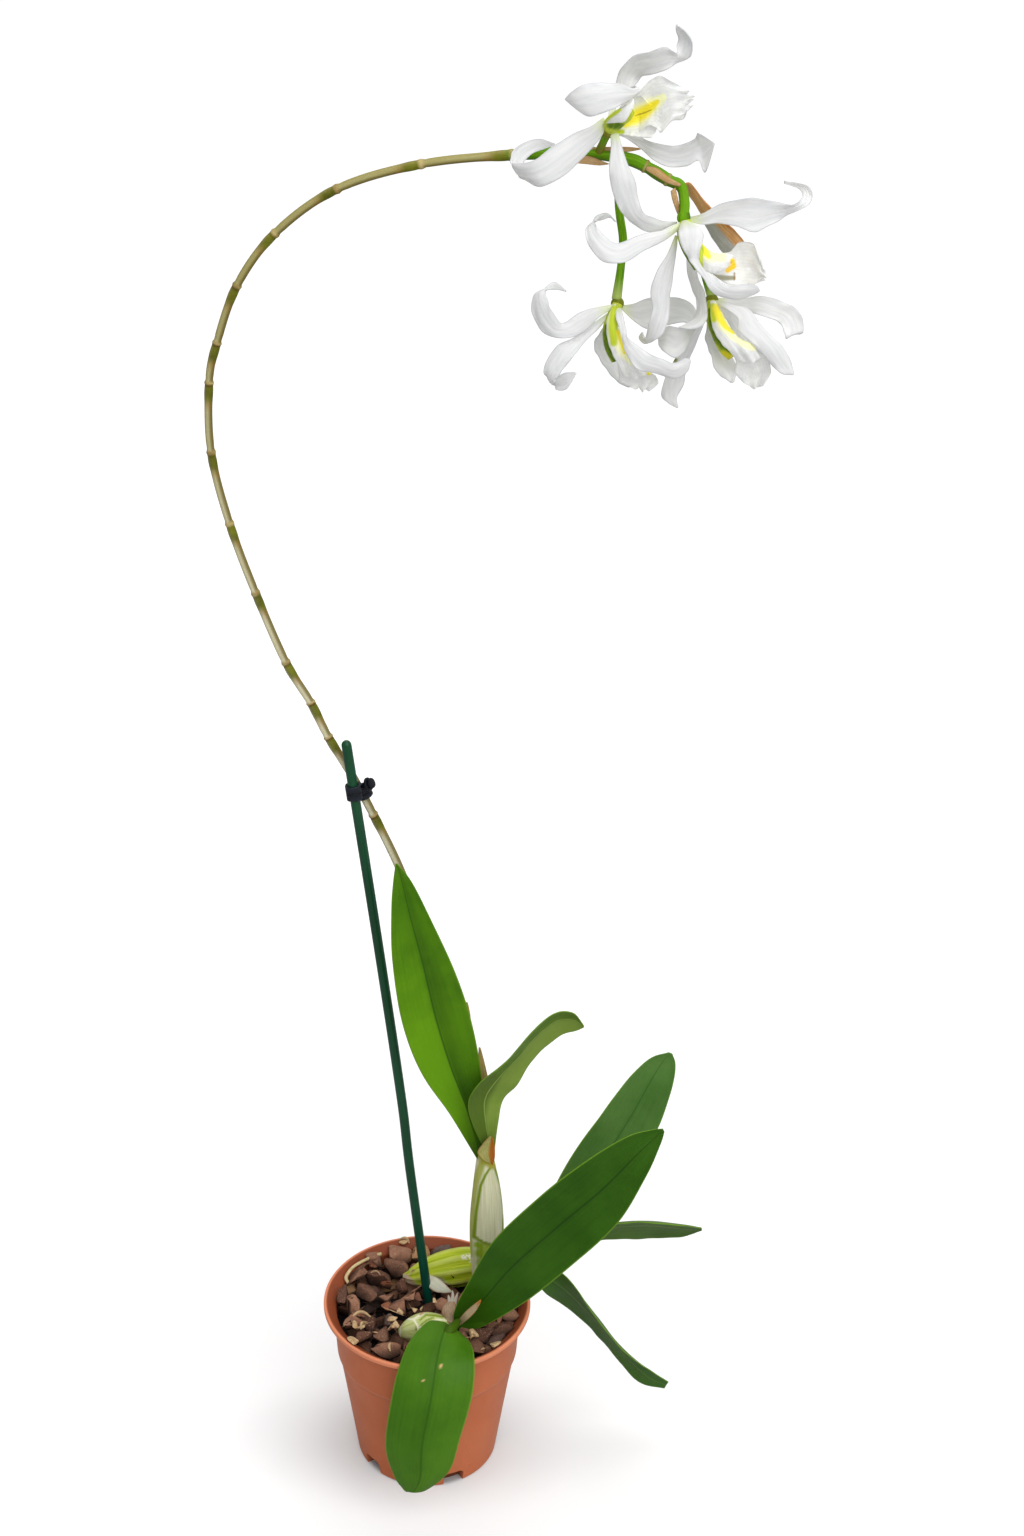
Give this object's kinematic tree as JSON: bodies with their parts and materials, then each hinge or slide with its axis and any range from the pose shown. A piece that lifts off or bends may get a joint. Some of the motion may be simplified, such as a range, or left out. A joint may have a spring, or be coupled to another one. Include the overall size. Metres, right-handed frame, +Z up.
{
  "type": "potted orchid plant",
  "caption": "Potted orchid with pseudobulbs, strap leaves and a long arching spike of white curled flowers, tied to a stake in a bark-filled nursery pot",
  "frame": {"origin": "centre of the pot's flat underside", "axes": "+Z up along the pot's axis; +X to the right and -Y toward the viewer of the reference view"},
  "size_m": [0.2922, 0.1389, 0.8032],
  "materials": {
    "pot": "satin terracotta-coloured plastic",
    "bark": "rough dark red-brown chunks",
    "stake": "smooth dark green",
    "clip": "near-black",
    "root": "dry cream",
    "spike_sheath": "papery cream sheaths with brown node rings and green patches",
    "green_stem": "smooth bright green",
    "dry_bract": "dry papery tan",
    "pseudobulb": "yellow-green, ribbed, with papery white sheath",
    "leaf": "satin deep green with a lighter rim and midrib",
    "flower_column": "waxy green and white",
    "flower_lip": "white with a yellow throat",
    "tepal": "white, faintly veined"
  },
  "bodies": {
    "root": {"pot": "pot", "support_stake": "stake", "bulb_upright": "pseudobulb", "bulb_lying": "pseudobulb", "bulb_front": "pseudobulb", "exposed_root": "root", "flower_spike": "spike_sheath", "stem_clip": "clip", "leaf_long_left": "leaf", "leaf_twisted": "leaf", "leaf_back_right": "leaf", "leaf_front_right": "leaf", "leaf_edge_on": "leaf", "leaf_drooping_right": "leaf", "leaf_front_droop": "leaf", "pedicel_1": "green_stem", "pedicel_3": "green_stem", "pedicel_4": "green_stem", "flower_1_column": "flower_column", "flower_1_lip": "flower_lip", "flower_1_dorsal_sepal": "tepal", "flower_1_lower_left_sepal": "tepal", "flower_1_lower_right_sepal": "tepal", "flower_1_left_petal": "tepal", "flower_1_upper_petal": "tepal", "flower_2_column": "flower_column", "flower_2_lip": "flower_lip", "flower_2_right_petal": "tepal", "flower_2_left_petal": "tepal", "flower_2_lower_left_sepal": "tepal", "flower_2_front_sepal": "tepal", "flower_2_back_sepal": "tepal", "flower_3_column": "flower_column", "flower_3_lip": "flower_lip", "flower_3_left_petal": "tepal", "flower_3_lower_left_sepal": "tepal", "flower_3_back_sepal": "tepal", "flower_3_front_sepal": "tepal", "flower_3_right_petal": "tepal", "flower_4_column": "flower_column", "flower_4_lip": "flower_lip", "flower_4_left_sepal": "tepal", "flower_4_back_sepal": "tepal", "flower_4_right_sepal": "tepal", "flower_4_upper_petal": "tepal", "flower_4_inner_petal": "tepal", "bract_long": "dry_bract", "bract_under": "dry_bract", "bract_clasp": "dry_bract", "bract_lower": "dry_bract", "bract_upper": "dry_bract", "leaf_scale": "dry_bract", "bulb_scale": "dry_bract", "growing_medium": "bark"}
  },
  "joints": []
}
